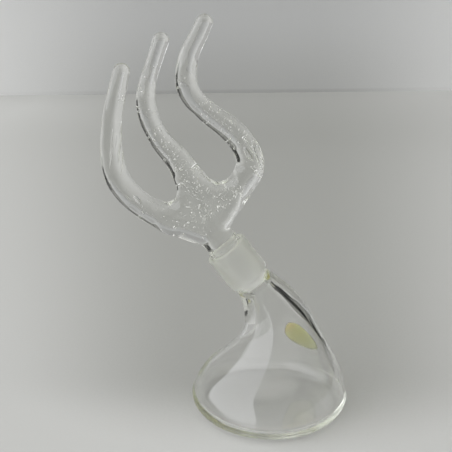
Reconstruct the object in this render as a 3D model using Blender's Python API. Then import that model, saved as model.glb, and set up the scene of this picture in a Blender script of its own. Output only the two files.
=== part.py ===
"""A hand-blown scent bottle with a bent neck, and its solid glass stopper with three prongs.

Metres, +Z up. The bottle stands on z = 0 with the middle of its foot at the origin, and its neck
leans towards -X. The stopper is built upright on its own axis, then leant into the neck.
"""

import math

import bmesh
import bpy
from mathutils import Matrix, Vector

# Foot and body, outside
BODY_RADIUS = 0.03335
EDGE_RADIUS = 0.0069

# Glass thicknesses
FLOOR_THICKNESS = 0.0032
FLOOR_CORNER_RADIUS = 0.0040
FOOT_WALL = 0.0013
SHOULDER_WALL = 0.0051

# Bent centre line of the body, from its widest ring to the foot of the collar
RISE_LEAN = math.radians(-3.6)
RISE_REACH = 0.0238
SHOULDER_LEAN = math.radians(41.6)
SHOULDER_REACH = 0.0245
TILT_GROWTH = 1.6

# Collar, which holds the ground socket
MOUTH_OFFSET = 0.0189
MOUTH_HEIGHT = 0.0726
NECK_LEAN = math.radians(37)
COLLAR_LENGTH = 0.0185
COLLAR_RADIUS = 0.0090
COLLAR_BLEND = 0.0035
NECK_RADIUS = 0.00785
LIP_HEIGHT = 0.00095

# Ground joint: a 1 in 10 cone, 14.5 mm wide at the mouth and 20 mm long
JOINT_MOUTH_RADIUS = 0.00725
JOINT_TAPER = 0.05
JOINT_LENGTH = 0.0200
JOINT_GAP = 0.0002

# Stopper above the joint
SHANK_HEIGHT = 0.0085
SHANK_RADIUS = 0.0064
SHANK_FOOT = 0.0007
SHANK_FOOT_RADIUS = 0.0070
SHANK_CORE_SHARE = 0.97
PLUG_END_ROUND = 0.0012
FLAME_HEIGHT = 0.0850
FLAME_WIDTH = 0.0500
PRONG_TIP_RADIUS = 0.0031
PRONG_ROOT_RADIUS = 0.0063
PALM_FLAT_HALF_DEPTH = 0.0016
PALM_EDGE_ROUND = 0.0040

# Oval label on the back of the right flank
LABEL_LENGTH = 0.0200
LABEL_WIDTH = 0.0135
LABEL_GAP = 0.0004
LABEL_THICKNESS = 0.0003
LABEL_ANGLE = math.radians(56)
LABEL_PLACE_SHARE = 0.325
LABEL_LEAN = math.radians(44)

# Outside radius from the widest ring (1) to the neck (0), against the share of the way up
BODY_TAPER_SHARES = (
    (0, 1), (0.14, 0.874), (0.30, 0.622), (0.46, 0.41), (0.62, 0.272), (0.80, 0.155), (0.90, 0.075), (1, 0),
)
# Wall from the foot's (0) to the shoulder's (1)
WALL_GROWTH_SHARES = (
    (0, 0), (0.14, 0.05), (0.30, 0.17), (0.46, 0.37), (0.56, 0.53), (0.63, 0.70), (0.72, 0.92), (0.82, 1),
    (0.92, 0.82), (1, 0.4),
)

# Prong centre lines: across as a share of FLAME_WIDTH, up as a share of FLAME_HEIGHT above the mouth,
# and thickness from the tip's radius (0) to the root's (1)
LEFT_PRONG_SHARES = (
    (0.226, 0.957, 0.06), (0.140, 0.918, 0.14), (0.048, 0.873, 0.21), (-0.060, 0.818, 0.28),
    (-0.152, 0.759, 0.35), (-0.260, 0.675, 0.49), (-0.332, 0.587, 0.62), (-0.346, 0.501, 0.63),
    (-0.318, 0.408, 0.64), (-0.242, 0.306, 0.84), (-0.120, 0.194, 1), (0, 0.085, 1),
)
MIDDLE_PRONG_SHARES = (
    (0.612, 0.957, 0.05), (0.536, 0.927, 0.02), (0.436, 0.888, 0), (0.332, 0.845, 0.08),
    (0.236, 0.789, 0.27), (0.178, 0.728, 0.31), (0.146, 0.667, 0.29), (0.130, 0.574, 0.39),
    (0.142, 0.486, 0.61), (0.122, 0.388, 0.92), (0.090, 0.294, 0.86), (0.050, 0.188, 0.86), (0, 0.085, 1),
)
RIGHT_PRONG_SHARES = (
    (0.958, 0.903, 0.05), (0.844, 0.868, 0.15), (0.738, 0.838, 0.22), (0.642, 0.792, 0.32),
    (0.566, 0.734, 0.42), (0.540, 0.666, 0.39), (0.552, 0.607, 0.37), (0.584, 0.526, 0.47),
    (0.624, 0.444, 0.59), (0.632, 0.361, 0.63), (0.604, 0.288, 0.78), (0.550, 0.243, 0.87),
    (0.431, 0.210, 0.78), (0.343, 0.184, 0.68), (0.205, 0.151, 0.58), (0.080, 0.122, 0.62), (0, 0.085, 1),
)
# Outline of the palm, across and up as the prongs' rows
PALM_OUTLINE_SHARES = (
    (-0.294, 0.398), (-0.241, 0.399), (-0.197, 0.363), (-0.140, 0.344), (-0.085, 0.339), (-0.036, 0.355),
    (0.001, 0.384), (0.036, 0.430), (0.133, 0.411), (0.234, 0.372), (0.246, 0.329), (0.260, 0.294),
    (0.295, 0.274), (0.351, 0.266), (0.416, 0.270), (0.484, 0.298), (0.561, 0.294), (0.553, 0.225),
    (0.420, 0.165), (0.235, 0.100), (0.100, 0.070), (-0.100, 0.070), (-0.150, 0.105), (-0.213, 0.170),
    (-0.303, 0.225), (-0.340, 0.300),
)

# Mesh fineness
RING_SIDES = 40
BODY_RINGS = 18
ARC_STEPS = 5
LABEL_SPOKES = 28
LABEL_RINGS = 3
PRONG_SIDES = 4
FLAME_VOXEL = 0.0015
FLAME_SMOOTHING = 4
FLAME_KEPT_SHARE = 0.55


def clear_scene():
    for old in list(bpy.data.objects):
        bpy.data.objects.remove(old, do_unlink=True)


def material(name, colour, roughness, transmission):
    made = bpy.data.materials.new(name)
    made.use_nodes = True
    shader = made.node_tree.nodes["Principled BSDF"]
    shader.inputs["Base Color"].default_value = (*colour, 1)
    shader.inputs["Roughness"].default_value = roughness
    shader.inputs["Metallic"].default_value = 0
    shader.inputs["Transmission Weight"].default_value = transmission
    made.diffuse_color = (*colour, 1)
    return made


def add_object(name, mesh, paint=None):
    if paint:
        mesh.materials.append(paint)
    made = bpy.data.objects.new(name, mesh)
    bpy.context.scene.collection.objects.link(made)
    return made


def smooth_table(table, share):
    """A smooth curve through the table's points, level past its ends."""
    xs = [row[0] for row in table]
    ys = [row[1] for row in table]
    share = min(max(share, xs[0]), xs[-1])
    k = max(i for i in range(len(xs) - 1) if xs[i] <= share)
    slopes = []
    for i in (k, k + 1):
        low = max(i - 1, 0)
        high = min(i + 1, len(xs) - 1)
        slopes.append((ys[high] - ys[low]) / (xs[high] - xs[low]))
    step = xs[k + 1] - xs[k]
    t = (share - xs[k]) / step
    start = ys[k] * (1 + 2 * t) * (1 - t) ** 2 + slopes[0] * step * t * (1 - t) ** 2
    end = ys[k + 1] * t * t * (3 - 2 * t) + slopes[1] * step * t * t * (t - 1)
    return start + end


def leaning(angle):
    """The direction that leans this far from upright towards -X."""
    return Vector((-math.sin(angle), 0, math.cos(angle)))


def mouth():
    return Vector((-MOUTH_OFFSET, 0, MOUTH_HEIGHT))


def collar_centre(depth):
    """The point on the neck's axis this far below the mouth."""
    return mouth() - leaning(NECK_LEAN) * depth


def body_centre(share):
    """The body's centre line, from its widest ring (0) to the foot of the collar (1)."""
    foot = Vector((0, 0, EDGE_RADIUS))
    neck = collar_centre(COLLAR_LENGTH)
    rise = foot + leaning(RISE_LEAN) * RISE_REACH
    fall = neck - leaning(SHOULDER_LEAN) * SHOULDER_REACH
    back = 1 - share
    low_part = foot * back**3 + rise * (3 * back**2 * share)
    return low_part + fall * (3 * back * share**2) + neck * share**3


def body_tilt(share):
    return SHOULDER_LEAN * share**TILT_GROWTH


def body_radius(share):
    return NECK_RADIUS + (BODY_RADIUS - NECK_RADIUS) * smooth_table(BODY_TAPER_SHARES, share)


def body_wall(share):
    return FOOT_WALL + (SHOULDER_WALL - FOOT_WALL) * smooth_table(WALL_GROWTH_SHARES, share)


def joint_radius(depth):
    return JOINT_MOUTH_RADIUS - JOINT_TAPER * depth


def outside_rings():
    """(centre, tilt, radius) of each ring from the middle of the flat foot to the collar."""
    rings = [(Vector(), 0, 0)]
    for i in range(ARC_STEPS):
        turn = math.radians(90) * i / ARC_STEPS
        height = EDGE_RADIUS * (1 - math.cos(turn))
        rings.append((Vector((0, 0, height)), 0, BODY_RADIUS - EDGE_RADIUS * (1 - math.sin(turn))))
    for i in range(BODY_RINGS):
        share = i / BODY_RINGS
        rings.append((body_centre(share), body_tilt(share), body_radius(share)))
    between = (SHOULDER_LEAN + NECK_LEAN) / 2
    rings.append((collar_centre(COLLAR_LENGTH), between, NECK_RADIUS))
    rings.append((collar_centre(COLLAR_LENGTH - COLLAR_BLEND), NECK_LEAN, COLLAR_RADIUS))
    return rings


def lip_rings():
    """Half an ellipse from the collar's outside over the lip to the ground bore."""
    bore = joint_radius(LIP_HEIGHT)
    middle = (COLLAR_RADIUS + bore) / 2
    rings = []
    for i in range(ARC_STEPS + 1):
        turn = math.radians(180) * i / ARC_STEPS
        depth = LIP_HEIGHT * (1 - math.sin(turn))
        rings.append((collar_centre(depth), NECK_LEAN, middle + (COLLAR_RADIUS - middle) * math.cos(turn)))
    return rings


def inside_rings():
    """From the lower end of the ground bore down to the middle of the floor."""
    rings = [(collar_centre(JOINT_LENGTH), NECK_LEAN, joint_radius(JOINT_LENGTH))]
    corner_top = FLOOR_THICKNESS + FLOOR_CORNER_RADIUS
    for i in range(BODY_RINGS - 2, 0, -1):
        share = i / BODY_RINGS
        centre = body_centre(share)
        low_side = centre.z - body_radius(share) * math.sin(body_tilt(share))
        if low_side > corner_top:
            rings.append((centre, body_tilt(share), body_radius(share) - body_wall(share)))
    corner_centre = rings[-1][2] - FLOOR_CORNER_RADIUS + corner_widening(rings[-1][0].z - corner_top)
    for i in range(ARC_STEPS + 1):
        turn = math.radians(90) * i / ARC_STEPS
        height = corner_top - FLOOR_CORNER_RADIUS * math.sin(turn)
        rings.append((Vector((0, 0, height)), 0, corner_centre + FLOOR_CORNER_RADIUS * math.cos(turn)))
    rings.append((Vector((0, 0, FLOOR_THICKNESS)), 0, corner_centre / 2))
    rings.append((Vector((0, 0, FLOOR_THICKNESS)), 0, 0))
    return rings


def corner_widening(drop):
    """How much wider the cavity is this far below a ring low on the cone."""
    fall = body_centre(1 / BODY_RINGS).z - EDGE_RADIUS
    return drop * (body_radius(0) - body_radius(1 / BODY_RINGS)) / fall


def ring_point(ring, angle):
    centre, tilt, radius = ring
    across = Vector((math.cos(tilt), 0, math.sin(tilt)))
    return centre + (across * math.cos(angle) + Vector((0, 1, 0)) * math.sin(angle)) * radius


def loft(name, rings, sides):
    """A closed mesh through the rings. The first and the last ring have no radius and become poles."""
    bm = bmesh.new()
    rows = []
    for ring in rings:
        if ring[2] > 0:
            turns = [math.tau * k / sides for k in range(sides)]
            rows.append([bm.verts.new(ring_point(ring, turn)) for turn in turns])
        else:
            rows.append([bm.verts.new(ring[0])] * sides)
    for low, high in zip(rows, rows[1:]):
        for k in range(sides):
            nxt = (k + 1) % sides
            corners = [low[k], low[nxt], high[nxt], high[k]]
            bm.faces.new(list(dict.fromkeys(corners)))
    bmesh.ops.recalc_face_normals(bm, faces=bm.faces)
    mesh = bpy.data.meshes.new(name)
    bm.to_mesh(mesh)
    bm.free()
    return mesh


def make_bottle(paint):
    rings = outside_rings() + lip_rings() + inside_rings()
    return add_object("bottle", loft("bottle", rings, RING_SIDES), paint)


def label_point(spoke, ring_share, height):
    """A point of the oval, wrapped on the body's outside and lifted off it by the height."""
    turn = math.tau * spoke / LABEL_SPOKES
    girth = body_radius(LABEL_PLACE_SHARE)
    slope_length = (body_centre(1) - body_centre(0)).length
    along = LABEL_LENGTH / 2 * ring_share * math.cos(turn)
    around = LABEL_WIDTH / 2 * ring_share * math.sin(turn)
    up = along * math.cos(LABEL_LEAN) - around * math.sin(LABEL_LEAN)
    side = around * math.cos(LABEL_LEAN) + along * math.sin(LABEL_LEAN)
    share = LABEL_PLACE_SHARE + up / slope_length
    ring = (body_centre(share), body_tilt(share), body_radius(share) + height)
    return ring_point(ring, LABEL_ANGLE + side / girth)


def make_label(paint):
    """A thin oval shell: two polar grids of points with a rim between them."""
    bm = bmesh.new()
    skins = []
    for height in (LABEL_GAP, LABEL_GAP + LABEL_THICKNESS):
        middle = bm.verts.new(label_point(0, 0, height))
        rows = [[middle] * LABEL_SPOKES]
        for i in range(1, LABEL_RINGS + 1):
            share = i / LABEL_RINGS
            rows.append([bm.verts.new(label_point(k, share, height)) for k in range(LABEL_SPOKES)])
        skins.append(rows)
    strips = []
    for rows in skins:
        strips += list(zip(rows, rows[1:]))
    strips.append((skins[0][-1], skins[1][-1]))
    for low, high in strips:
        for k in range(LABEL_SPOKES):
            nxt = (k + 1) % LABEL_SPOKES
            bm.faces.new(list(dict.fromkeys([low[k], low[nxt], high[nxt], high[k]])))
    bmesh.ops.recalc_face_normals(bm, faces=bm.faces)
    mesh = bpy.data.meshes.new("oval_label")
    bm.to_mesh(mesh)
    bm.free()
    return add_object("oval_label", mesh, paint)


def prong_radius(share):
    return PRONG_TIP_RADIUS + (PRONG_ROOT_RADIUS - PRONG_TIP_RADIUS) * share


def add_prong(bm, rows):
    """A rod along a smooth curve through the rows, with a ball on each end."""
    curve = bpy.data.curves.new("prong", "CURVE")
    curve.dimensions = "3D"
    curve.bevel_depth = 1
    curve.bevel_resolution = PRONG_SIDES
    curve.use_fill_caps = True
    spline = curve.splines.new("BEZIER")
    spline.bezier_points.add(len(rows) - 1)
    for point, (across, up, thickness) in zip(spline.bezier_points, rows):
        point.co = (FLAME_WIDTH * across, 0, FLAME_HEIGHT * up)
        point.radius = prong_radius(thickness)
        point.handle_left_type = "AUTO"
        point.handle_right_type = "AUTO"
    rod = add_object("prong_guide", curve)
    bpy.context.view_layer.update()
    shape = rod.evaluated_get(bpy.context.evaluated_depsgraph_get()).to_mesh()
    bm.from_mesh(shape)
    bpy.data.objects.remove(rod, do_unlink=True)
    for across, up, thickness in (rows[0], rows[-1]):
        add_ball(bm, across, up, prong_radius(thickness))


def add_ball(bm, across, up, radius):
    place = Matrix.Translation((FLAME_WIDTH * across, 0, FLAME_HEIGHT * up))
    bmesh.ops.create_icosphere(bm, subdivisions=3, radius=radius, matrix=place)


def add_palm(bm):
    """The flattened plate between the prongs, with a rounded rim."""
    curve = bpy.data.curves.new("palm", "CURVE")
    curve.dimensions = "2D"
    curve.fill_mode = "BOTH"
    curve.extrude = PALM_FLAT_HALF_DEPTH
    curve.bevel_depth = PALM_EDGE_ROUND
    curve.bevel_resolution = PRONG_SIDES
    curve.offset = -PALM_EDGE_ROUND
    spline = curve.splines.new("BEZIER")
    spline.use_cyclic_u = True
    spline.bezier_points.add(len(PALM_OUTLINE_SHARES) - 1)
    for point, (across, up) in zip(spline.bezier_points, PALM_OUTLINE_SHARES):
        point.co = (FLAME_WIDTH * across, FLAME_HEIGHT * up, 0)
        point.handle_left_type = "AUTO"
        point.handle_right_type = "AUTO"
    plate = add_object("palm_guide", curve)
    bpy.context.view_layer.update()
    shape = plate.evaluated_get(bpy.context.evaluated_depsgraph_get()).to_mesh()
    shape.transform(Matrix.Rotation(math.radians(90), 4, "X"))
    bm.from_mesh(shape)
    bpy.data.objects.remove(plate, do_unlink=True)


def add_shank(bm):
    """The neck of glass between the mouth and the palm."""
    depth = SHANK_HEIGHT - SHANK_FOOT
    place = Matrix.Translation((0, 0, SHANK_FOOT + depth / 2))
    bmesh.ops.create_cone(
        bm, cap_ends=True, segments=RING_SIDES, radius1=SHANK_FOOT_RADIUS, radius2=SHANK_RADIUS,
        depth=depth, matrix=place,
    )


def plug_mesh():
    """The ground plug, as rings on the stopper's own upright axis, with its head inside the shank."""
    length = JOINT_LENGTH - JOINT_GAP
    end_radius = joint_radius(length) - JOINT_GAP
    head = SHANK_HEIGHT / 2
    profile = [(head, 0), (head, SHANK_RADIUS * SHANK_CORE_SHARE)]
    profile += [(SHANK_FOOT, SHANK_FOOT_RADIUS * SHANK_CORE_SHARE), (0, joint_radius(0) - JOINT_GAP)]
    profile += [(-length / 2, joint_radius(length / 2) - JOINT_GAP), (PLUG_END_ROUND - length, end_radius)]
    for i in range(1, ARC_STEPS):
        turn = math.radians(90) * i / ARC_STEPS
        inset = PLUG_END_ROUND * (1 - math.cos(turn))
        profile.append((PLUG_END_ROUND * (1 - math.sin(turn)) - length, end_radius - inset))
    profile.append((-length, 0))
    return loft("plug", [(Vector((0, 0, up)), 0, radius) for up, radius in profile], RING_SIDES)


def make_stopper(paint):
    bm = bmesh.new()
    for rows in (LEFT_PRONG_SHARES, MIDDLE_PRONG_SHARES, RIGHT_PRONG_SHARES):
        add_prong(bm, rows)
    add_palm(bm)
    add_shank(bm)
    mesh = bpy.data.meshes.new("stopper")
    bm.to_mesh(mesh)
    bm.free()
    stopper = add_object("stopper", mesh, paint)
    plug = add_object("plug_guide", plug_mesh())
    plug.hide_render = True
    plug.display_type = "WIRE"
    for piece in (stopper, plug):
        piece.location = mouth()
        piece.rotation_euler = (0, -NECK_LEAN, 0)
    fuse = stopper.modifiers.new("fuse prongs", "REMESH")
    fuse.mode = "VOXEL"
    fuse.voxel_size = FLAME_VOXEL
    soften = stopper.modifiers.new("soften joins", "SMOOTH")
    soften.iterations = FLAME_SMOOTHING
    thin = stopper.modifiers.new("fewer faces", "DECIMATE")
    thin.ratio = FLAME_KEPT_SHARE
    join = stopper.modifiers.new("add plug", "BOOLEAN")
    join.operation = "UNION"
    join.object = plug
    return stopper


def main():
    clear_scene()
    clear_glass = material("clear glass", (0.94, 0.96, 0.92), 0.03, 1)
    yellow_film = material("yellow film", (0.62, 0.56, 0.20), 0.45, 0)
    make_bottle(clear_glass)
    make_label(yellow_film)
    make_stopper(clear_glass)


main()
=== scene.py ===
"""Looks of the glass scent bottle: blown flask, bubbly three-pronged stopper and yellow label.

Everything is in metres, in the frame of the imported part. The shapes have the sizes of the solids, but
the plug fits its socket more closely and the label touches the glass. The meshes are finer, and there
are bubbles, a wavy inside, glass that is ground in the joint and rubbed on the collar, and a room.
"""

import math
import random
from collections import namedtuple

import bmesh
import bpy
from mathutils import Matrix, Vector, noise
from mathutils.bvhtree import BVHTree


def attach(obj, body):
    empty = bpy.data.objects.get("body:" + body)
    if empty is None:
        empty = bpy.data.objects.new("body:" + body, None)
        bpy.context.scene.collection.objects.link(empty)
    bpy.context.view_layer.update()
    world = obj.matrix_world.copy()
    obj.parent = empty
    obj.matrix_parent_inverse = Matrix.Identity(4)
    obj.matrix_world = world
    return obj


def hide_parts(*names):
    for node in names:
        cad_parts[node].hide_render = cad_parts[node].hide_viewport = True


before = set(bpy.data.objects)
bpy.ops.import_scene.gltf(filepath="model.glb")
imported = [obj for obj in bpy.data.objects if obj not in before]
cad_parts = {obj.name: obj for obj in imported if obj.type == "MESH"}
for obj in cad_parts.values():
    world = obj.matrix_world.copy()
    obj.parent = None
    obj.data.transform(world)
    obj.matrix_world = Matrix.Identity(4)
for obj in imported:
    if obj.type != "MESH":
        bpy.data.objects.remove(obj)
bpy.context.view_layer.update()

# Flask, outside
BODY_RADIUS = 0.03335
EDGE_RADIUS = 0.0069
NECK_RADIUS = 0.00785
MOUTH_OFFSET = 0.0189
MOUTH_HEIGHT = 0.0726
NECK_LEAN = math.radians(37)
COLLAR_LENGTH = 0.0185
COLLAR_RADIUS = 0.0090
COLLAR_BLEND = 0.0035
LIP_HEIGHT = 0.00095
# The body's centre line is one smooth curve: how it leaves the foot, and how it meets the collar
RISE_LEAN = math.radians(-3.6)
RISE_REACH = 0.0238
SHOULDER_LEAN = math.radians(41.6)
SHOULDER_REACH = 0.0245
TILT_GROWTH = 1.6
# Share of the way up the centre line, and how much of the width over the neck's is left there
BODY_TAPER_SHARES = (
    (0, 1), (0.14, 0.874), (0.30, 0.622), (0.46, 0.41), (0.62, 0.272), (0.80, 0.155), (0.90, 0.075), (1, 0),
)

# Flask, inside
FLOOR_THICKNESS = 0.0032
FLOOR_CORNER_RADIUS = 0.0040
CAVITY_TOP_SHARE = 0.94
FOOT_WALL = 0.0013
SHOULDER_WALL = 0.0051
# Share of the way up the centre line, and how far the wall has grown from the foot's to the shoulder's
WALL_GROWTH_SHARES = (
    (0, 0), (0.14, 0.05), (0.30, 0.17), (0.46, 0.37), (0.56, 0.53), (0.63, 0.70), (0.72, 0.92), (0.82, 1),
    (0.92, 0.82), (1, 0.4),
)
WALL_SOFTENING = 0.035

# Wandering of the blown inside
# The ripple is finer and weaker than the wave, and both fade over the last share of the way up
WALL_WAVE = 0.00001
FLOOR_WAVE = 0.00020
WAVE_SCALE = 40
RIPPLE_SCALE = 110
RIPPLE_STRENGTH = 0.3
WAVE_FADE_SHARE = 0.25

# Bubbles in the right flank: share of the way up, degrees round the body, width, and length over width
FLANK_BUBBLES = ((0.245, -10, 0.0007, 2.2), (0.197, -15, 0.0004, 5), (0.147, -23, 0.0011, 1.6))
FLANK_SLOPE_STEP = 0.02

# Ground joint
JOINT_MOUTH_RADIUS = 0.00725
JOINT_TAPER = 0.05
JOINT_LENGTH = 0.0200
JOINT_GAP = 0.00008

# Stopper
SHANK_HEIGHT = 0.0085
SHANK_RADIUS = 0.0064
SHANK_FOOT = 0.0007
SHANK_FOOT_RADIUS = 0.0070
SHANK_CORE_SHARE = 0.97
PLUG_END_ROUND = 0.0012
FLAME_HEIGHT = 0.0850
FLAME_WIDTH = 0.0500
PRONG_TIP_RADIUS = 0.0031
PRONG_ROOT_RADIUS = 0.0063
PALM_FLAT_HALF_DEPTH = 0.0016
PALM_EDGE_ROUND = 0.0040
# Each prong from its tip to its root: shares of the width and height, and thickness from tip to root
LEFT_PRONG_SHARES = (
    (0.226, 0.957, 0.06), (0.140, 0.918, 0.14), (0.048, 0.873, 0.21), (-0.060, 0.818, 0.28),
    (-0.152, 0.759, 0.35), (-0.260, 0.675, 0.49), (-0.332, 0.587, 0.62), (-0.346, 0.501, 0.63),
    (-0.318, 0.408, 0.64), (-0.242, 0.306, 0.84), (-0.120, 0.194, 1), (0, 0.085, 1),
)
MIDDLE_PRONG_SHARES = (
    (0.612, 0.957, 0.05), (0.536, 0.927, 0.02), (0.436, 0.888, 0), (0.332, 0.845, 0.08),
    (0.236, 0.789, 0.27), (0.178, 0.728, 0.31), (0.146, 0.667, 0.29), (0.130, 0.574, 0.39),
    (0.142, 0.486, 0.61), (0.122, 0.388, 0.92), (0.090, 0.294, 0.86), (0.050, 0.188, 0.86), (0, 0.085, 1),
)
RIGHT_PRONG_SHARES = (
    (0.958, 0.903, 0.05), (0.844, 0.868, 0.15), (0.738, 0.838, 0.22), (0.642, 0.792, 0.32),
    (0.566, 0.734, 0.42), (0.540, 0.666, 0.39), (0.552, 0.607, 0.37), (0.584, 0.526, 0.47),
    (0.624, 0.444, 0.59), (0.632, 0.361, 0.63), (0.604, 0.288, 0.78), (0.550, 0.243, 0.87),
    (0.431, 0.210, 0.78), (0.343, 0.184, 0.68), (0.205, 0.151, 0.58), (0.080, 0.122, 0.62), (0, 0.085, 1),
)
# Round the palm's edge: shares of the width and height
PALM_OUTLINE_SHARES = (
    (-0.294, 0.398), (-0.241, 0.399), (-0.197, 0.363), (-0.140, 0.344), (-0.085, 0.339), (-0.036, 0.355),
    (0.001, 0.384), (0.036, 0.430), (0.133, 0.411), (0.234, 0.372), (0.246, 0.329), (0.260, 0.294),
    (0.295, 0.274), (0.351, 0.266), (0.416, 0.270), (0.484, 0.298), (0.561, 0.294), (0.553, 0.225),
    (0.420, 0.165), (0.235, 0.100), (0.100, 0.070), (-0.100, 0.070), (-0.150, 0.105), (-0.213, 0.170),
    (-0.303, 0.225), (-0.340, 0.300),
)

# Bubbles in the stopper
# A cluster of seeds: its place and its spread, each across and up in the shares of the prongs' rows, how
# many seeds, the lean that they are drawn along in degrees, and about their length over their width
SEED_CLUSTER_SHARES = (
    (0.150, 0.250, 0.120, 0.060, 260, 20, 1.3), (0.345, 0.222, 0.055, 0.026, 80, 10, 1.2),
    (0.020, 0.180, 0.130, 0.025, 90, 30, 1.3), (0.110, 0.390, 0.055, 0.045, 90, -8, 1.5),
    (0.175, 0.490, 0.060, 0.045, 80, -5, 1.6), (0.135, 0.590, 0.060, 0.040, 44, 0, 1.7),
    (0.100, 0.655, 0.045, 0.018, 30, 10, 1.3), (0.162, 0.777, 0.040, 0.030, 20, 30, 1.3),
    (0.604, 0.627, 0.035, 0.022, 30, -5, 1.3), (0.567, 0.545, 0.050, 0.030, 34, -10, 1.6),
    (0.610, 0.460, 0.065, 0.040, 50, -8, 1.6), (0.560, 0.390, 0.050, 0.040, 34, 0, 1.6),
    (0.700, 0.360, 0.050, 0.045, 40, 5, 1.4), (0.535, 0.760, 0.045, 0.020, 24, 10, 1.3),
    (0.400, 0.900, 0.040, 0.015, 16, 60, 1.3), (0.083, 0.864, 0.025, 0.010, 14, 40, 1.2),
    (-0.380, 0.360, 0.060, 0.035, 26, -15, 1.8), (-0.200, 0.250, 0.080, 0.035, 34, -40, 1.6),
    (0.600, 0.270, 0.060, 0.050, 24, 5, 1.5), (0.270, 0.840, 0.040, 0.030, 14, 50, 1.4),
)
# A cluster of drawn-out streaks: the same, and their width over a seed's
STREAK_CLUSTER_SHARES = (
    (-0.165, 0.712, 0.030, 0.015, 7, 44, 20, 1.2), (-0.215, 0.665, 0.030, 0.015, 6, 42, 20, 1.2),
    (0.655, 0.290, 0.025, 0.015, 4, 10, 5, 3.4), (0.632, 0.225, 0.025, 0.015, 5, 10, 5, 3.6),
    (0.690, 0.335, 0.020, 0.015, 4, 8, 5, 2.4), (-0.350, 0.470, 0.030, 0.030, 5, -4, 7, 1.3),
    (-0.300, 0.390, 0.040, 0.025, 8, -15, 9, 1.0), (0.030, 0.190, 0.020, 0.008, 3, 37, 5, 1.6),
    (0.400, 0.180, 0.040, 0.012, 5, 60, 6, 1.2), (0.145, 0.560, 0.030, 0.030, 6, 0, 7, 1.1),
)
SEED_WIDTH = 1
SEED_RADIUS = 0.00014
SEED_RADIUS_LIMIT = 0.00055
SEED_SIZE_SPREAD = 0.50
SEED_LEAN_SPREAD = 14
SEED_STRETCH_SPREAD = (0.5, 1.3)
SEED_DEPTH = 0.0055
SEED_COVER = 0.00022
SEED_TRIES = 40
BUBBLE_RANDOM_START = 7

# Oval label. Its inner face is sunk a little into the glass, so that no air shows between them
LABEL_LENGTH = 0.0200
LABEL_WIDTH = 0.0135
LABEL_SINK = 0.00004
LABEL_THICKNESS = 0.00012
LABEL_ANGLE = math.radians(56)
LABEL_PLACE_SHARE = 0.325
LABEL_LEAN = math.radians(44)

# Fineness of the meshes
RING_SIDES = 144
BODY_RINGS = 90
ARC_STEPS = 14
ROUNDING_STEPS = 6
PRONG_CURVE_STEPS = 16
PALM_CURVE_STEPS = 8
PRONG_END_FINENESS = 4
STREAK_FINENESS = 3
SEED_FINENESS = 2
LABEL_SPOKES = 96
LABEL_CIRCLES = 12
FLAME_VOXEL = 0.00045
FLAME_SMOOTHING = 14

# Clear glass
GLASS_IOR = 1.5
GLASS_DEPTH_COLOUR = (0.44, 0.50, 0.22)
GLASS_DEPTH_DENSITY = 4.5
# The ground glass of the joint: its roughness, the depth below the mouth where it becomes full, how far
# outside the bore it is still full and where it ends, and half the length over which it ends at the bottom
GROUND_ROUGHNESS = 0.34
GROUND_START = 0.0008
GROUND_FULL_REACH = 0.0004
GROUND_END_REACH = 0.0008
GROUND_END_SOFTNESS = 0.0006
GRAIN_SCALE = 2600
GRAIN_DETAIL = 3
GRAIN_STRENGTH = 0.16
# The rubbed collar: its roughness, and how far past its side and above the mouth the rubbing is still
# full and where it ends
COLLAR_ROUGHNESS = 0.38
RUBBED_SIDE_FULL = 0.0003
RUBBED_SIDE_END = 0.0008
RUBBED_TOP_FULL = 0.0001
RUBBED_TOP_END = 0.0004

# Yellow film. Places on it run from -1 to 1 along and across the oval, and a span is where a change
# starts and where it ends
FILM_PALE = (0.70, 0.71, 0.52)
FILM_YELLOW = (0.72, 0.71, 0.38)
FILM_WARM = (0.74, 0.64, 0.28)
FILM_YELLOW_SPAN = (-0.7, 0.75)
FILM_WARM_SPAN = (0.75, 1.35)
FILM_BLOTCH_SCALE = 2.2
FILM_BLOTCH_DETAIL = 6
FILM_BLOTCH_STRENGTH = 0.9
FILM_FIBRE_SCALE = 34
FILM_FIBRE_DETAIL = 4
FILM_WEAR_STRENGTH = 0.25
FILM_WEAR_SPAN = (1.16, 0.96)
FILM_ROUGHNESS = 0.45
FILM_FIBRE_ROUGHNESS = 0.2
FILM_BUMP_STRENGTH = 0.3
FILM_BUMP_HEIGHT = 0.0001

# Light runs round the thick rim of the foot, so its paths are long
GUIDED_BOUNCES = 96

# Camera of the photograph
CAMERA_PLACE = Vector((-0.0187, -0.3254, 0.1907))
CAMERA_DOWN = math.radians(18.5)
FOCAL_PIXELS = 843
PHOTO_PIXELS = 452
SENSOR_WIDTH = 36

# Table and wall
FLOOR_DROP = 0.0001
STAGE_REACH = 3.0
TABLE_FRONT = 0.33
# The table's colour in the painted shade of its middle, and its colour in the painted light at its edges
TABLE_COLOUR = (0.354, 0.356, 0.337)
TABLE_PAINTED_LIGHT = (0.548, 0.55, 0.534)
WALL_DISTANCE = 0.812
WALL_SLANT = 0.067
WALL_HEIGHT = 0.9
WALL_LEFT_EDGE = -0.40
WALL_RIGHT_EDGE = 0.295
# The wall's colour in the painted shade of its middle, and its colour in the painted light at its edges
WALL_COLOUR = (0.455, 0.459, 0.45)
WALL_PAINTED_LIGHT = (0.84, 0.843, 0.84)
# Bands of painted light and shade across the wall: the heights between which a band's colour comes in, and
# the colour. Below the first band the wall keeps its darker colour, a painted shadow line along its foot
WALL_LIGHT_AND_SHADE_BANDS = (
    (0.002, 0.006, (0.52, 0.524, 0.515)), (0, 0.11, (0.60, 0.605, 0.605)), (0.12, 0.20, (0.46, 0.46, 0.455)),
)
MATT_ROUGHNESS = 0.9
SPECK_SCALE = 900
SPECK_DETAIL = 2
SPECK_STRENGTH = 0.16
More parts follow.
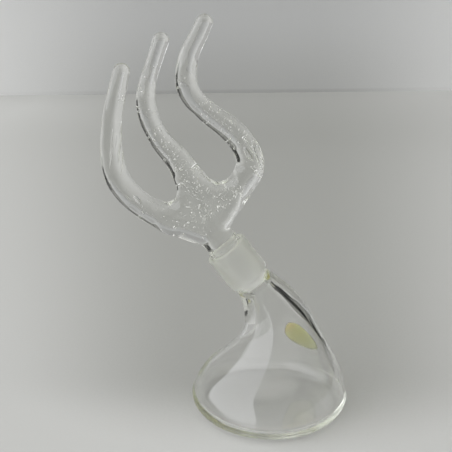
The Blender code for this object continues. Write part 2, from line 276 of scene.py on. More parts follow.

# Painted light and shade on the table and wall
# Their colour is painted palest at the sides and in front, and the table's also far back. The darker middle
# is painted shade, which opens out like a fan, whose point is SHADE_REACH in front of the bottle
SHADE_MIDDLE = 0.002
SHADE_REACH = 0.389
SHADE_NEAREST = SHADE_REACH / 4
SHADE_SPREAD = 0.266
SHADE_FRONT = 0.03
SHADE_FRONT_FADE = 0.06
SHADE_PALE_START = 0.25
SHADE_PALE_END = 1.25
# Painted light on the table far back: how much, and where it comes in
BACK_PAINTED_LIGHT = 0.42
BACK_PAINTED_LIGHT_START = 0.50
BACK_PAINTED_LIGHT_END = 0.85

# Dark card on the table at the right back, seen only through the glass and in it. Its black is painted
# shade, which stands for the dark right back of the room as the glass shows it
CARD_LIFT = 0.001
CARD_CORNERS = ((0.21, 0.35), (0.36, 0.22), (2.9, 1.75), (2.9, 2.9), (1.74, 2.9))
CARD_RIM_COLOUR = (0.36, 0.37, 0.345)
CARD_PAINTED_SHADE = (0.008, 0.008, 0.008)
CARD_FADE_START = 0.42
CARD_FADE_END = 0.52

# Room round the table
ROOM_COLOUR = (0.42, 0.42, 0.41)
# Patches of the room, each over those before it: middle and half width in degrees of turn, lower and upper
# edge and softness in degrees, degrees of lean to the left for each degree of height, and colour. A turn
# of 0 is straight behind the camera, and turns to the left are positive
ROOM_PATCHES = (
    # Dim ground in front of the table
    (0, 110, -95, -3, 2, 0, (0.08, 0.08, 0.08)),
    # Bright ceiling, except over the dim side of the room
    (40, 125, 43, 95, 9, 0, (1.43, 1.425, 1.40)),
    # Dim side of the room at the right, and two dark corners in it
    (-150, 24, -20, 34, 4, 0, (0.21, 0.213, 0.197)),
    (-92, 36, -20, 25, 4, 0, (0.36, 0.37, 0.30)),
    (-135, 11.5, -20, 9, 1, 0, (0.004, 0.004, 0.004)),
    (-107, 20, 8, 30, 1.5, -1, (0.004, 0.004, 0.004)),
    # Broad window at the left front
    (62, 43, 3, 56, 1, 0.5, (2.15, 2.17, 2.24)),
)

# One ring of a lofted piece. The waviness is how much of the inside's wandering it takes
Ring = namedtuple("Ring", "centre tilt radius waviness", defaults=(0,))
# One cluster of bubbles: a row of the tables above, and the fineness of their balls
Cluster = namedtuple("Cluster", "across up across_spread up_spread count lean stretch width fineness")


def smooth_table(table, share):
    """A smooth curve through the table's points, level past its ends."""
    xs = [row[0] for row in table]
    ys = [row[1] for row in table]
    share = min(max(share, xs[0]), xs[-1])
    k = max(i for i in range(len(xs) - 1) if xs[i] <= share)
    slopes = []
    for i in (k, k + 1):
        low = max(i - 1, 0)
        high = min(i + 1, len(xs) - 1)
        slopes.append((ys[high] - ys[low]) / (xs[high] - xs[low]))
    step = xs[k + 1] - xs[k]
    t = (share - xs[k]) / step
    start = ys[k] * (1 + 2 * t) * (1 - t) ** 2 + slopes[0] * step * t * (1 - t) ** 2
    end = ys[k + 1] * t * t * (3 - 2 * t) + slopes[1] * step * t * t * (t - 1)
    return start + end


def leaning(angle):
    """The direction that leans this far from upright towards -X."""
    return Vector((-math.sin(angle), 0, math.cos(angle)))


def mouth():
    """The middle of the flask's mouth."""
    return Vector((-MOUTH_OFFSET, 0, MOUTH_HEIGHT))


def neck_frame():
    """The neck's own axes: its origin in the middle of the mouth, and its Z up along the neck."""
    return Matrix.Translation(mouth()) @ Matrix.Rotation(-NECK_LEAN, 4, "Y")


def collar_centre(depth):
    """The point on the neck's axis this far below the mouth."""
    return mouth() - leaning(NECK_LEAN) * depth


def body_centre(share):
    """The body's centre line, from its widest ring (0) to the foot of the collar (1)."""
    foot = Vector((0, 0, EDGE_RADIUS))
    neck = collar_centre(COLLAR_LENGTH)
    rise = foot + leaning(RISE_LEAN) * RISE_REACH
    fall = neck - leaning(SHOULDER_LEAN) * SHOULDER_REACH
    back = 1 - share
    low_part = foot * back**3 + rise * (3 * back**2 * share)
    return low_part + fall * (3 * back * share**2) + neck * share**3


def body_tilt(share):
    """How far the body's ring leans: not at all at the foot, and with the shoulder at the collar."""
    return SHOULDER_LEAN * share**TILT_GROWTH


def body_radius(share):
    """The outer radius of the body's ring."""
    return NECK_RADIUS + (BODY_RADIUS - NECK_RADIUS) * smooth_table(BODY_TAPER_SHARES, share)


def body_wall(share):
    """The glass thickness. Averaging nearby places takes the last bends out of the table's curve."""
    growth = [smooth_table(WALL_GROWTH_SHARES, share + step * WALL_SOFTENING) for step in (-2, -1, 0, 1, 2)]
    return FOOT_WALL + (SHOULDER_WALL - FOOT_WALL) * sum(growth) / len(growth)


def joint_radius(depth):
    """The radius of the ground bore this far below the mouth."""
    return JOINT_MOUTH_RADIUS - JOINT_TAPER * depth


def outside_rings():
    """From the middle of the foot up the outside to the collar."""
    rings = [Ring(Vector(), 0, 0)]
    for i in range(ARC_STEPS):
        turn = math.radians(90) * i / ARC_STEPS
        height = EDGE_RADIUS * (1 - math.cos(turn))
        rings.append(Ring(Vector((0, 0, height)), 0, BODY_RADIUS - EDGE_RADIUS * (1 - math.sin(turn))))
    for i in range(BODY_RINGS):
        share = i / BODY_RINGS
        rings.append(Ring(body_centre(share), body_tilt(share), body_radius(share)))
    for i in range(ARC_STEPS + 1):
        share = i / ARC_STEPS
        swell = share * share * (3 - 2 * share)
        tilt = SHOULDER_LEAN + (NECK_LEAN - SHOULDER_LEAN) * (0.5 + share / 2)
        radius = NECK_RADIUS + (COLLAR_RADIUS - NECK_RADIUS) * swell
        rings.append(Ring(collar_centre(COLLAR_LENGTH - COLLAR_BLEND * share), tilt, radius))
    return rings


def lip_rings():
    """Half an ellipse from the collar's outside over the lip to the ground bore."""
    bore = joint_radius(LIP_HEIGHT)
    middle = (COLLAR_RADIUS + bore) / 2
    rings = []
    for i in range(ARC_STEPS + 1):
        turn = math.radians(180) * i / ARC_STEPS
        depth = LIP_HEIGHT * (1 - math.sin(turn))
        radius = middle + (COLLAR_RADIUS - middle) * math.cos(turn)
        rings.append(Ring(collar_centre(depth), NECK_LEAN, radius))
    return rings


def inside_rings():
    """From the lower end of the ground bore down to the middle of the floor."""
    rings = [Ring(collar_centre(JOINT_LENGTH), NECK_LEAN, joint_radius(JOINT_LENGTH))]
    corner_top = FLOOR_THICKNESS + FLOOR_CORNER_RADIUS
    for i in range(round(BODY_RINGS * CAVITY_TOP_SHARE), 0, -1):
        share = i / BODY_RINGS
        centre = body_centre(share)
        low_side = centre.z - body_radius(share) * math.sin(body_tilt(share))
        if low_side > corner_top:
            waviness = min(1, (1 - share) / WAVE_FADE_SHARE)
            rings.append(Ring(centre, body_tilt(share), body_radius(share) - body_wall(share), waviness))
    corner_centre = rings[-1].radius - FLOOR_CORNER_RADIUS
    for i in range(ARC_STEPS + 1):
        turn = math.radians(90) * i / ARC_STEPS
        height = corner_top - FLOOR_CORNER_RADIUS * math.sin(turn)
        radius = corner_centre + FLOOR_CORNER_RADIUS * math.cos(turn)
        rings.append(Ring(Vector((0, 0, height)), 0, radius, 1))
    for i in range(ARC_STEPS - 1, -1, -1):
        rings.append(Ring(Vector((0, 0, FLOOR_THICKNESS)), 0, corner_centre * i / ARC_STEPS, 1))
    return rings


def ring_point(ring, angle):
    """The point of the ring at this angle, which is 0 at its +X side."""
    across = Vector((math.cos(ring.tilt), 0, math.sin(ring.tilt)))
    return ring.centre + (across * math.cos(angle) + Vector((0, 1, 0)) * math.sin(angle)) * ring.radius


def smooth_faces(mesh):
    for face in mesh.polygons:
        face.use_smooth = True


def add_band(bm, low, high):
    """Faces between two rows of corners. A pole, one corner written over and over, gives triangles."""
    for k in range(len(low)):
        nxt = (k + 1) % len(low)
        bm.faces.new(list(dict.fromkeys([low[k], low[nxt], high[nxt], high[k]])))


def finished_mesh(bm, name):
    """The closed mesh that has been built, with its faces outwards and smooth."""
    bmesh.ops.recalc_face_normals(bm, faces=bm.faces)
    mesh = bpy.data.meshes.new(name)
    bm.to_mesh(mesh)
    bm.free()
    smooth_faces(mesh)
    return mesh


def loft(name, rings):
    """A closed mesh through the rings. The first and the last ring have no radius and become poles."""
    bm = bmesh.new()
    turns = [math.tau * k / RING_SIDES for k in range(RING_SIDES)]
    rows = []
    for ring in rings:
        if ring.radius > 0:
            rows.append([bm.verts.new(ring_point(ring, turn)) for turn in turns])
        else:
            rows.append([bm.verts.new(ring.centre)] * RING_SIDES)
    for low, high in zip(rows, rows[1:]):
        add_band(bm, low, high)
    return finished_mesh(bm, name)


def add_object(name, data, paint=None):
    """Puts a mesh, curve or camera in the scene."""
    if paint:
        data.materials.append(paint)
    made = bpy.data.objects.new(name, data)
    bpy.context.scene.collection.objects.link(made)
    return made


def inward_ball(fineness):
    """Points and faces of a ball of radius 1 whose faces look inwards, as those of a hollow do."""
    bm = bmesh.new()
    bmesh.ops.create_icosphere(bm, subdivisions=fineness, radius=1)
    points = [vert.co.copy() for vert in bm.verts]
    faces = [[vert.index for vert in reversed(face.verts)] for face in bm.faces]
    bm.free()
    return points, faces


def add_bubble(bm, ball, shape):
    """Adds the inward ball to the glass, moved, turned and drawn out by the shape."""
    points, faces = ball
    corners = [bm.verts.new(shape @ point) for point in points]
    for face in faces:
        bm.faces.new([corners[k] for k in face])


def wall_middle(share, angle):
    """The point in the middle of the glass, this share of the way up the body and this angle round it."""
    girth = body_radius(share) - body_wall(share) / 2
    return ring_point(Ring(body_centre(share), body_tilt(share), girth), angle)


def add_flank_bubbles(mesh):
    """Bubbles in the middle of the wall, drawn out up the flank's slope."""
    ball = inward_ball(STREAK_FINENESS)
    bm = bmesh.new()
    bm.from_mesh(mesh)
    for share, degrees, width, stretch in FLANK_BUBBLES:
        angle = math.radians(degrees)
        place = wall_middle(share, angle)
        slope = wall_middle(share + FLANK_SLOPE_STEP, angle) - place
        upright = slope.to_track_quat("Z", "Y").to_matrix().to_4x4()
        size = Matrix.Diagonal((width / 2, width / 2, width / 2 * stretch, 1))
        add_bubble(bm, ball, Matrix.Translation(place) @ upright @ size)
    bm.to_mesh(mesh)
    bm.free()
    smooth_faces(mesh)


def wave_inside(mesh, rings):
    """Moves the inner wall in and out, and the floor up and down, as blown glass wanders."""
    first = 0
    for ring in rings:
        count = RING_SIDES if ring.radius > 0 else 1
        if ring.waviness > 0:
            for vertex in mesh.vertices[first:first + count]:
                place = vertex.co
                out = (place - ring.centre).normalized()
                lump = noise.noise(place * WAVE_SCALE) + RIPPLE_STRENGTH * noise.noise(place * RIPPLE_SCALE)
                if ring.tilt == 0 and place.z <= FLOOR_THICKNESS + FLOOR_WAVE:
                    place.z += FLOOR_WAVE * lump * ring.waviness
                else:
                    place += out * WALL_WAVE * lump * ring.waviness
        first += count


def make_flask(paint):
    """The blown glass: a true outside, an inside that wanders a little, and the bubbles in its wall."""
    rings = outside_rings() + lip_rings() + inside_rings()
    mesh = loft("blown_flask", rings)
    wave_inside(mesh, rings)
    add_flank_bubbles(mesh)
    flask = add_object("blown_flask", mesh, paint)
    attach(flask, "flask")
    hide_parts("bottle")
    return flask


def label_point(around_turn, reach, height):
    """A point of the oval, wrapped on the body's outside and lifted off it by the height."""
    girth = body_radius(LABEL_PLACE_SHARE)
    slope_length = (body_centre(1) - body_centre(0)).length
    along = LABEL_LENGTH / 2 * reach * math.cos(around_turn)
    around = LABEL_WIDTH / 2 * reach * math.sin(around_turn)
    up = along * math.cos(LABEL_LEAN) - around * math.sin(LABEL_LEAN)
    side = around * math.cos(LABEL_LEAN) + along * math.sin(LABEL_LEAN)
    share = LABEL_PLACE_SHARE + up / slope_length
    ring = Ring(body_centre(share), body_tilt(share), body_radius(share) + height)
    return ring_point(ring, LABEL_ANGLE + side / girth)


def make_label(paint):
    """A thin oval film, stuck on the outside of the back."""
    bm = bmesh.new()
    turns = [math.tau * k / LABEL_SPOKES for k in range(LABEL_SPOKES)]
    skins = []
    flat_places = []
    for height in (-LABEL_SINK, LABEL_THICKNESS - LABEL_SINK):
        rows = [[bm.verts.new(label_point(0, 0, height))] * LABEL_SPOKES]
        flat_places.append((0, 0))
        for i in range(1, LABEL_CIRCLES + 1):
            reach = i / LABEL_CIRCLES
            rows.append([bm.verts.new(label_point(turn, reach, height)) for turn in turns])
            flat_places += [(reach * math.cos(turn), reach * math.sin(turn)) for turn in turns]
        skins.append(rows)
    for rows in skins:
        for low, high in zip(rows, rows[1:]):
            add_band(bm, low, high)
    add_band(bm, skins[0][-1], skins[1][-1])
    mesh = finished_mesh(bm, "yellow_label")
    flat = mesh.uv_layers.new(name="oval")
    for loop in mesh.loops:
        flat.data[loop.index].uv = flat_places[loop.vertex_index]
    label = add_object("yellow_label", mesh, paint)
    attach(label, "flask")
    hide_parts("oval_label")
    return label


def smooth_curve(name, dimensions, places):
    """A curve that runs smoothly through the places."""
    curve = bpy.data.curves.new(name, "CURVE")
    curve.dimensions = dimensions
    curve.bevel_resolution = ROUNDING_STEPS
    spline = curve.splines.new("BEZIER")
    spline.bezier_points.add(len(places) - 1)
    for point, place in zip(spline.bezier_points, places):
        point.co = place
        point.handle_left_type = "AUTO"
        point.handle_right_type = "AUTO"
    return curve


def add_curve(bm, curve, turn):
    """Adds the solid shape of the curve, turned."""
    guide = add_object(curve.name, curve)
    bpy.context.view_layer.update()
    shape = guide.evaluated_get(bpy.context.evaluated_depsgraph_get()).to_mesh()
    shape.transform(turn)
    bm.from_mesh(shape)
    bpy.data.objects.remove(guide, do_unlink=True)


def prong_radius(thickness):
    """The radius of a prong whose thickness runs from 0, as at its tip, to 1, as at its root."""
    return PRONG_TIP_RADIUS + (PRONG_ROOT_RADIUS - PRONG_TIP_RADIUS) * thickness


def add_prong(bm, rows):
    """A rod along a smooth curve through the rows, with a ball on each end."""
    places = [Vector((FLAME_WIDTH * across, 0, FLAME_HEIGHT * up)) for across, up, _ in rows]
    radii = [prong_radius(thickness) for _, _, thickness in rows]
    curve = smooth_curve("prong", "3D", places)
    curve.bevel_depth = 1
    curve.resolution_u = PRONG_CURVE_STEPS
    curve.use_fill_caps = True
    for point, radius in zip(curve.splines[0].bezier_points, radii):
        point.radius = radius
    add_curve(bm, curve, Matrix())
    for end in (0, -1):
        ball = bmesh.ops.create_icosphere(bm, subdivisions=PRONG_END_FINENESS, radius=1)
        bmesh.ops.scale(bm, vec=(radii[end], radii[end], radii[end]), verts=ball["verts"])
        bmesh.ops.translate(bm, vec=places[end], verts=ball["verts"])


def add_palm(bm):
    """The flattened plate between the prongs, with a rounded rim. It is drawn flat and stood upright."""
    places = [(FLAME_WIDTH * across, FLAME_HEIGHT * up, 0) for across, up in PALM_OUTLINE_SHARES]
    curve = smooth_curve("palm", "2D", places)
    curve.splines[0].use_cyclic_u = True
    curve.fill_mode = "BOTH"
    curve.extrude = PALM_FLAT_HALF_DEPTH
    curve.bevel_depth = PALM_EDGE_ROUND
    curve.offset = -PALM_EDGE_ROUND
    curve.resolution_u = PALM_CURVE_STEPS
    add_curve(bm, curve, Matrix.Rotation(math.radians(90), 4, "X"))


def add_shank(bm):
    """The neck of clear glass between the mouth and the palm."""
    bmesh.ops.create_cone(
        bm, cap_ends=True, segments=RING_SIDES, radius1=SHANK_FOOT_RADIUS, radius2=SHANK_RADIUS,
        depth=SHANK_HEIGHT - SHANK_FOOT, matrix=Matrix.Translation((0, 0, (SHANK_FOOT + SHANK_HEIGHT) / 2)),
    )


def plug_mesh():
    """The ground plug, as rings on the stopper's own upright axis, with its head inside the shank."""
    length = JOINT_LENGTH - JOINT_GAP
    end_radius = joint_radius(length) - JOINT_GAP
    head = SHANK_HEIGHT / 2
    profile = [(head, 0), (head, SHANK_RADIUS * SHANK_CORE_SHARE)]
    profile += [(SHANK_FOOT, SHANK_FOOT_RADIUS * SHANK_CORE_SHARE), (0, joint_radius(0) - JOINT_GAP)]
    profile += [(-length / 2, joint_radius(length / 2) - JOINT_GAP), (PLUG_END_ROUND - length, end_radius)]
    for i in range(1, ARC_STEPS):
        turn = math.radians(90) * i / ARC_STEPS
        inset = PLUG_END_ROUND * (1 - math.cos(turn))
        profile.append((PLUG_END_ROUND * (1 - math.sin(turn)) - length, end_radius - inset))
    profile.append((-length, 0))
    return loft("plug", [Ring(Vector((0, 0, up)), 0, radius) for up, radius in profile])


def fused_stopper():
    """One solid of prongs, palm, shank and plug, with the joins melted smooth."""
    bm = bmesh.new()
    for rows in (LEFT_PRONG_SHARES, MIDDLE_PRONG_SHARES, RIGHT_PRONG_SHARES):
        add_prong(bm, rows)
    add_palm(bm)
    add_shank(bm)
    mesh = bpy.data.meshes.new("flame")
    bm.to_mesh(mesh)
    bm.free()
    flame = add_object("flame", mesh)
    plug = add_object("plug", plug_mesh())
    fuse = flame.modifiers.new("fuse prongs", "REMESH")
    fuse.mode = "VOXEL"
    fuse.voxel_size = FLAME_VOXEL
    soften = flame.modifiers.new("soften joins", "SMOOTH")
    soften.iterations = FLAME_SMOOTHING
    join = flame.modifiers.new("add plug", "BOOLEAN")
    join.operation = "UNION"
    join.object = plug
    bpy.context.view_layer.update()
    graph = bpy.context.evaluated_depsgraph_get()
    solid = bpy.data.meshes.new_from_object(flame.evaluated_get(graph))
    for helper in (flame, plug):
        bpy.data.objects.remove(helper, do_unlink=True)
    return solid


def bubble_spots(place, reach, radius):
    """The bubble as a row of balls, (centre, radius): one for a seed, five for a streak."""
    if reach.length < radius * 2:
        return [(place, reach.length + radius)]
    return [(place + reach * step, radius) for step in (-1, -0.5, 0, 0.5, 1)]


def room_for_bubble(glass, taken, place, reach, radius):
    """Whether a bubble that reaches this far both ways keeps clear of the surface and of the others."""
    for spot in (place, place + reach, place - reach):
        near, normal, _, gap = glass.find_nearest(spot)
        if (spot - near).dot(normal) > 0 or gap < radius + SEED_COVER:
            return False
    for spot, size in bubble_spots(place, reach, radius):
        if any((spot - other).length < size + other_size for other, other_size in taken):
            return False
    return True


def free_place(chance, glass, taken, cluster, reach, radius):
    """A random place in the cluster with room for the bubble, or None when no try finds one."""
    for _ in range(SEED_TRIES):
        place = Vector((
            FLAME_WIDTH * chance.gauss(cluster.across, cluster.across_spread),
            chance.uniform(-SEED_DEPTH, SEED_DEPTH),
            FLAME_HEIGHT * chance.gauss(cluster.up, cluster.up_spread),
        ))
        if room_for_bubble(glass, taken, place, reach, radius):
            return place
    return None


def add_seed_bubbles(solid):
    """Fills the palm and the prongs: first the drawn-out streaks, and then the seeds round them."""
    chance = random.Random(BUBBLE_RANDOM_START)
    faces = [tuple(face.vertices) for face in solid.polygons]
    glass = BVHTree.FromPolygons([vert.co for vert in solid.vertices], faces)
    clusters = [Cluster(*row, STREAK_FINENESS) for row in STREAK_CLUSTER_SHARES]
    clusters += [Cluster(*row, SEED_WIDTH, SEED_FINENESS) for row in SEED_CLUSTER_SHARES]
    balls = {fineness: inward_ball(fineness) for fineness in (STREAK_FINENESS, SEED_FINENESS)}
    taken = []
    bm = bmesh.new()
    bm.from_mesh(solid)
    for cluster in clusters:
        for _ in range(cluster.count):
            size_change = chance.lognormvariate(0, SEED_SIZE_SPREAD)
            radius = min(SEED_RADIUS * cluster.width * size_change, SEED_RADIUS_LIMIT)
            drawn = 1 + (cluster.stretch - 1) * chance.uniform(*SEED_STRETCH_SPREAD)
            turn = math.radians(cluster.lean + chance.gauss(0, SEED_LEAN_SPREAD / cluster.stretch))
            reach = Vector((math.sin(turn), 0, math.cos(turn))) * radius * (drawn - 1)
            place = free_place(chance, glass, taken, cluster, reach, radius)
            if place is not None:
                size = Matrix.Diagonal((radius, radius, radius * drawn, 1))
                shape = Matrix.Translation(place) @ Matrix.Rotation(turn, 4, "Y") @ size
                add_bubble(bm, balls[cluster.fineness], shape)
                taken += bubble_spots(place, reach, radius)
    bm.to_mesh(solid)
    bm.free()


def make_stopper(paint):
    """The hot-worked stopper, built upright and then set in the neck."""
    solid = fused_stopper()
    add_seed_bubbles(solid)
    smooth_faces(solid)
    solid.transform(neck_frame())
    stopper = add_object("flame_stopper", solid, paint)
    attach(stopper, "stopper")
    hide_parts("stopper")
    return stopper


def maths(tree, kind, *values):
    """A maths node fed by sockets or plain numbers."""
    node = tree.nodes.new("ShaderNodeMath")
    node.operation = kind
    for socket, value in zip(node.inputs, values):
        if isinstance(value, (int, float)):
            socket.default_value = value
        else:
            tree.links.new(value, socket)
    return node.outputs[0]


def hypotenuse(tree, first, second):
    """The long side over two sides at right angles."""
    squares = [maths(tree, "POWER", maths(tree, "ABSOLUTE", side), 2) for side in (first, second)]
    return maths(tree, "SQRT", maths(tree, "ADD", *squares))


def soft_step(tree, value, start, end):
    """0 up to the start, 1 from the end on, and a smooth slope between. Either of them may be the larger."""
    node = tree.nodes.new("ShaderNodeMapRange")
    node.interpolation_type = "SMOOTHSTEP"
    tree.links.new(value, node.inputs["Value"])
    node.inputs["From Min"].default_value = start
    node.inputs["From Max"].default_value = end
    return node.outputs["Result"]


def mixed(tree, factor, first, second):
    """A blend of two colours, each a socket or three numbers."""
    node = tree.nodes.new("ShaderNodeMix")
    node.data_type = "RGBA"
    tree.links.new(factor, node.inputs["Factor"])
    for name, value in (("A", first), ("B", second)):
        if isinstance(value, tuple):
            node.inputs[name].default_value = (*value, 1)
        else:
            tree.links.new(value, node.inputs[name])
    return node.outputs["Result"]


def places_on(tree, kind):
    """Where each painted point is, in coordinates of this kind. In the sky they are its direction."""
    return tree.nodes.new("ShaderNodeTexCoord").outputs[kind]


def axes(tree, place):
    """The place's X, Y and Z."""
    split = tree.nodes.new("ShaderNodeSeparateXYZ")
    tree.links.new(place, split.inputs[0])
    return split.outputs["X"], split.outputs["Y"], split.outputs["Z"]


def distance(tree, place):
    """How far the place is from its coordinates' origin."""
    node = tree.nodes.new("ShaderNodeVectorMath")
    node.operation = "LENGTH"
    tree.links.new(place, node.inputs[0])
    return node.outputs["Value"]


def cloudy(tree, place, scale, detail):
    """A soft random pattern, 0 to 1."""
    node = tree.nodes.new("ShaderNodeTexNoise")
    node.inputs["Scale"].default_value = scale
    node.inputs["Detail"].default_value = detail
    tree.links.new(place, node.inputs["Vector"])
    return node.outputs["Fac"]


def put_out(group, results):
    """Gives the group an output for each of the named results."""
    for name in results:
        group.interface.new_socket(name, in_out="OUTPUT", socket_type="NodeSocketFloat")
    out = group.nodes.new("NodeGroupOutput")
    for name, result in results.items():
        group.links.new(result, out.inputs[name])


def placed(tree, group):
    """The outputs of the group, placed in a material."""
    node = tree.nodes.new("ShaderNodeGroup")
    node.node_tree = group
    return node.outputs


def ground_joint_group():
    """Where the glass is ground for the joint and rubbed on the collar, 0 to 1, and the grinding's grain."""
    group = bpy.data.node_groups.new("ground joint", "ShaderNodeTree")
    to_neck = group.nodes.new("ShaderNodeMapping")
    to_neck.vector_type = "TEXTURE"
    to_neck.inputs["Location"].default_value = mouth()
    to_neck.inputs["Rotation"].default_value = (0, -NECK_LEAN, 0)
    group.links.new(places_on(group, "Object"), to_neck.inputs["Vector"])
    place = to_neck.outputs["Vector"]
    x, y, z = axes(group, place)
    radius = hypotenuse(group, x, y)
    past_bore = maths(group, "SUBTRACT", radius, JOINT_MOUTH_RADIUS)
    bore = soft_step(group, past_bore, GROUND_END_REACH, GROUND_FULL_REACH)
    below = soft_step(group, z, 0, -GROUND_START)
    above = soft_step(group, z, -JOINT_LENGTH - GROUND_END_SOFTNESS, -JOINT_LENGTH + GROUND_END_SOFTNESS)
    ground = maths(group, "MULTIPLY", bore, maths(group, "MULTIPLY", below, above))
    past_side = maths(group, "SUBTRACT", radius, COLLAR_RADIUS)
    side = soft_step(group, past_side, RUBBED_SIDE_END, RUBBED_SIDE_FULL)
    top = soft_step(group, z, RUBBED_TOP_END, RUBBED_TOP_FULL)
    foot = soft_step(group, z, -COLLAR_LENGTH, -COLLAR_LENGTH + COLLAR_BLEND)
    rubbed = maths(group, "MULTIPLY", side, maths(group, "MULTIPLY", top, foot))
    grain = cloudy(group, place, GRAIN_SCALE, GRAIN_DETAIL)
    put_out(group, {"Ground": ground, "Rubbed": rubbed, "Grain": grain})
    return group


def clear_glass():
    """Clear glass with a faint olive depth, dull where it is ground and hazy where it is rubbed."""
    paint = bpy.data.materials.new("clear glass")
    paint.use_nodes = True
    tree = paint.node_tree
    shader = tree.nodes["Principled BSDF"]
    shader.inputs["Base Color"].default_value = (1, 1, 1, 1)
    shader.inputs["IOR"].default_value = GLASS_IOR
    shader.inputs["Transmission Weight"].default_value = 1
    joint = placed(tree, ground_joint_group())
    rough = maths(tree, "MULTIPLY_ADD", joint["Grain"], GRAIN_STRENGTH, GROUND_ROUGHNESS)
    rough = maths(tree, "MULTIPLY", joint["Ground"], rough)
    haze = maths(tree, "MULTIPLY", joint["Rubbed"], COLLAR_ROUGHNESS)
    tree.links.new(maths(tree, "MAXIMUM", rough, haze), shader.inputs["Roughness"])
    depth = tree.nodes.new("ShaderNodeVolumeAbsorption")
    depth.inputs["Color"].default_value = (*GLASS_DEPTH_COLOUR, 1)
    depth.inputs["Density"].default_value = GLASS_DEPTH_DENSITY
    tree.links.new(depth.outputs[0], tree.nodes["Material Output"].inputs["Volume"])
    return paint


def yellow_film():
    """A stained paper film: warmer at its upper end, blotched, and worn thin along its rim."""
    paint = bpy.data.materials.new("yellow film")
    paint.use_nodes = True
    tree = paint.node_tree
    shader = tree.nodes["Principled BSDF"]
    place = places_on(tree, "UV")
    along = axes(tree, place)[0]
    blotch = cloudy(tree, place, FILM_BLOTCH_SCALE, FILM_BLOTCH_DETAIL)
    fibre = cloudy(tree, place, FILM_FIBRE_SCALE, FILM_FIBRE_DETAIL)
    stain = maths(tree, "MULTIPLY_ADD", blotch, FILM_BLOTCH_STRENGTH, along)
    colour = mixed(tree, soft_step(tree, stain, *FILM_YELLOW_SPAN), FILM_PALE, FILM_YELLOW)
    colour = mixed(tree, soft_step(tree, stain, *FILM_WARM_SPAN), colour, FILM_WARM)
    tree.links.new(colour, shader.inputs["Base Color"])
    worn = maths(tree, "MULTIPLY_ADD", blotch, FILM_WEAR_STRENGTH, distance(tree, place))
    tree.links.new(soft_step(tree, worn, *FILM_WEAR_SPAN), shader.inputs["Alpha"])
    rough = maths(tree, "MULTIPLY_ADD", fibre, FILM_FIBRE_ROUGHNESS, FILM_ROUGHNESS)
    tree.links.new(rough, shader.inputs["Roughness"])
    bump = tree.nodes.new("ShaderNodeBump")
    bump.inputs["Strength"].default_value = FILM_BUMP_STRENGTH
    bump.inputs["Distance"].default_value = FILM_BUMP_HEIGHT
    tree.links.new(fibre, bump.inputs["Height"])
    tree.links.new(bump.outputs["Normal"], shader.inputs["Normal"])
    return paint


def painted_light_and_specks_group():
    """Where the stage has painted light, 0 to 1: towards its sides and front, and far back. Also its specks.
    """
    group = bpy.data.node_groups.new("painted light and specks", "ShaderNodeTree")
    place = places_on(group, "Object")
    x, y, _ = axes(group, place)
    across = maths(group, "SUBTRACT", x, SHADE_MIDDLE)
    depth = maths(group, "MAXIMUM", maths(group, "ADD", y, SHADE_REACH), SHADE_NEAREST)
    side = maths(group, "DIVIDE", maths(group, "DIVIDE", across, depth), SHADE_SPREAD)
    front = maths(group, "MAXIMUM", maths(group, "SUBTRACT", SHADE_FRONT, y), 0)
    front = maths(group, "DIVIDE", front, SHADE_FRONT_FADE)
    edges = soft_step(group, hypotenuse(group, side, front), SHADE_PALE_START, SHADE_PALE_END)
    back = soft_step(group, y, BACK_PAINTED_LIGHT_START, BACK_PAINTED_LIGHT_END)
    specks = cloudy(group, place, SPECK_SCALE, SPECK_DETAIL)
    put_out(group, {"Edges": edges, "Back": back, "Specks": specks})
    return group


def plain_paint(name, colour):
    """A matt paint of one colour."""
    paint = bpy.data.materials.new(name)
    paint.use_nodes = True
    shader = paint.node_tree.nodes["Principled BSDF"]
    shader.inputs["Base Color"].default_value = (*colour, 1)
    shader.inputs["Roughness"].default_value = MATT_ROUGHNESS
    shader.inputs["Specular IOR Level"].default_value = 0
    return paint


def stage_paint(name, painted_light_and_specks, colour, pale, back_painted_light=0, bands=()):
    """A matt white with painted light that makes it paler towards the edges, and bands of painted light and
    shade above some heights.
    """
    paint = plain_paint(name, colour)
    tree = paint.node_tree
    masks = placed(tree, painted_light_and_specks)
    height = axes(tree, places_on(tree, "Object"))[2]
    # The bands are painted light and shade, with a painted shadow line at the wall's foot
    for start, end, band_colour in bands:
        colour = mixed(tree, soft_step(tree, height, start, end), colour, band_colour)
    # Painted light at the edges and far back, over specks of tone that differ at random
    specks = maths(tree, "MULTIPLY_ADD", masks["Specks"], SPECK_STRENGTH, -SPECK_STRENGTH / 2)
    lift = maths(tree, "MULTIPLY_ADD", masks["Back"], back_painted_light, specks)
    shaded = mixed(tree, maths(tree, "ADD", masks["Edges"], lift), colour, pale)
    tree.links.new(shaded, tree.nodes["Principled BSDF"].inputs["Base Color"])
    return paint


def card_painted_shade():
    """The card's painted shade: black far off, fading into the table's colour towards the bottle."""
    paint = plain_paint("card painted shade", CARD_RIM_COLOUR)
    tree = paint.node_tree
    fade = soft_step(tree, distance(tree, places_on(tree, "Object")), CARD_FADE_START, CARD_FADE_END)
    shade = mixed(tree, fade, CARD_RIM_COLOUR, CARD_PAINTED_SHADE)
    tree.links.new(shade, tree.nodes["Principled BSDF"].inputs["Base Color"])
    return paint


def flat_sheet(name, corners, paint):
    """A flat piece of the stage."""
    mesh = bpy.data.meshes.new(name)
    mesh.from_pydata(corners, [], [tuple(range(len(corners)))])
    sheet = add_object(name, mesh, paint)
    return sheet


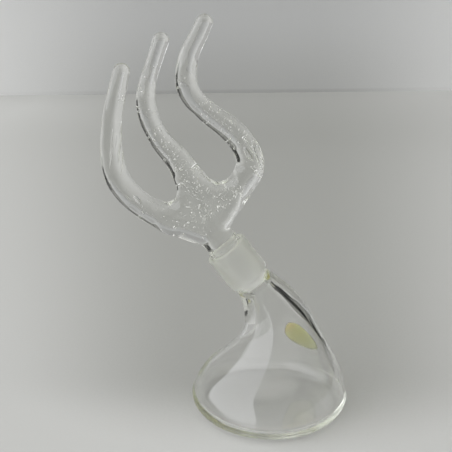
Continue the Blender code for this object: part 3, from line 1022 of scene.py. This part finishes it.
def make_stage():
    """The table, the wall that stands slantwise behind it, and the dark card."""
    floor_z = -FLOOR_DROP
    painted_light_and_specks = painted_light_and_specks_group()
    floor = [(-STAGE_REACH, -TABLE_FRONT, floor_z), (STAGE_REACH, -TABLE_FRONT, floor_z)]
    floor += [(STAGE_REACH, STAGE_REACH, floor_z), (-STAGE_REACH, STAGE_REACH, floor_z)]
    table = stage_paint("table white", painted_light_and_specks, TABLE_COLOUR, TABLE_PAINTED_LIGHT, BACK_PAINTED_LIGHT)
    flat_sheet("table_top", floor, table)
    left = (WALL_LEFT_EDGE, WALL_DISTANCE + WALL_LEFT_EDGE * WALL_SLANT)
    right = (WALL_RIGHT_EDGE, WALL_DISTANCE + WALL_RIGHT_EDGE * WALL_SLANT)
    wall = [(*left, floor_z), (*right, floor_z), (*right, WALL_HEIGHT), (*left, WALL_HEIGHT)]
    plaster = stage_paint("wall white", painted_light_and_specks, WALL_COLOUR, WALL_PAINTED_LIGHT, 0, WALL_LIGHT_AND_SHADE_BANDS)
    flat_sheet("back_wall", wall, plaster)
    # The card's black is painted shade, which only the glass shows
    card = flat_sheet("dark_card", [(x, y, CARD_LIFT) for x, y in CARD_CORNERS], card_painted_shade())
    card.visible_camera = False
    card.visible_diffuse = False
    card.visible_shadow = False


def room_patch(tree, middle, half, low, high, soft, lean):
    """A mask, 1 inside a patch of the room and 0 outside it. ROOM_PATCHES says what the numbers are."""
    x, y, z = axes(tree, places_on(tree, "Generated"))
    back = maths(tree, "MULTIPLY", y, -1)
    left = maths(tree, "MULTIPLY", x, -1)
    turn = maths(tree, "ARCTAN2", left, back)
    height = maths(tree, "ARCSINE", z)
    off = maths(tree, "SUBTRACT", turn, math.radians(middle))
    off = maths(tree, "ABSOLUTE", maths(tree, "SUBTRACT", off, maths(tree, "MULTIPLY", height, lean)))
    inside = soft_step(tree, off, math.radians(half + soft), math.radians(half - soft))
    above = soft_step(tree, height, math.radians(low - soft), math.radians(low + soft))
    below = soft_step(tree, height, math.radians(high + soft), math.radians(high - soft))
    return maths(tree, "MULTIPLY", maths(tree, "MULTIPLY", inside, above), below)


def make_world():
    """A room with a bright ceiling, a broad window at the left front, and dark corners at the right."""
    world = bpy.data.worlds.new("room")
    bpy.context.scene.world = world
    world.use_nodes = True
    tree = world.node_tree
    colour = ROOM_COLOUR
    for *patch, tint in ROOM_PATCHES:
        colour = mixed(tree, room_patch(tree, *patch), colour, tint)
    tree.links.new(colour, tree.nodes["Background"].inputs["Color"])


def make_camera():
    """The photograph's camera, level across and looking down."""
    data = bpy.data.cameras.new("photo camera")
    data.sensor_width = SENSOR_WIDTH
    data.lens = SENSOR_WIDTH * FOCAL_PIXELS / PHOTO_PIXELS
    camera = add_object("photo camera", data)
    camera.location = CAMERA_PLACE
    camera.rotation_euler = (math.radians(90) - CAMERA_DOWN, 0, 0)
    bpy.context.scene.camera = camera


def main():
    glass = clear_glass()
    make_flask(glass)
    make_stopper(glass)
    make_label(yellow_film())
    make_stage()
    make_world()
    make_camera()
    scene = bpy.context.scene
    scene.view_settings.view_transform = "Standard"
    scene.cycles.max_bounces = GUIDED_BOUNCES
    scene.cycles.transmission_bounces = GUIDED_BOUNCES
    scene.cycles.glossy_bounces = GUIDED_BOUNCES
    scene.cycles.blur_glossy = 0


main()
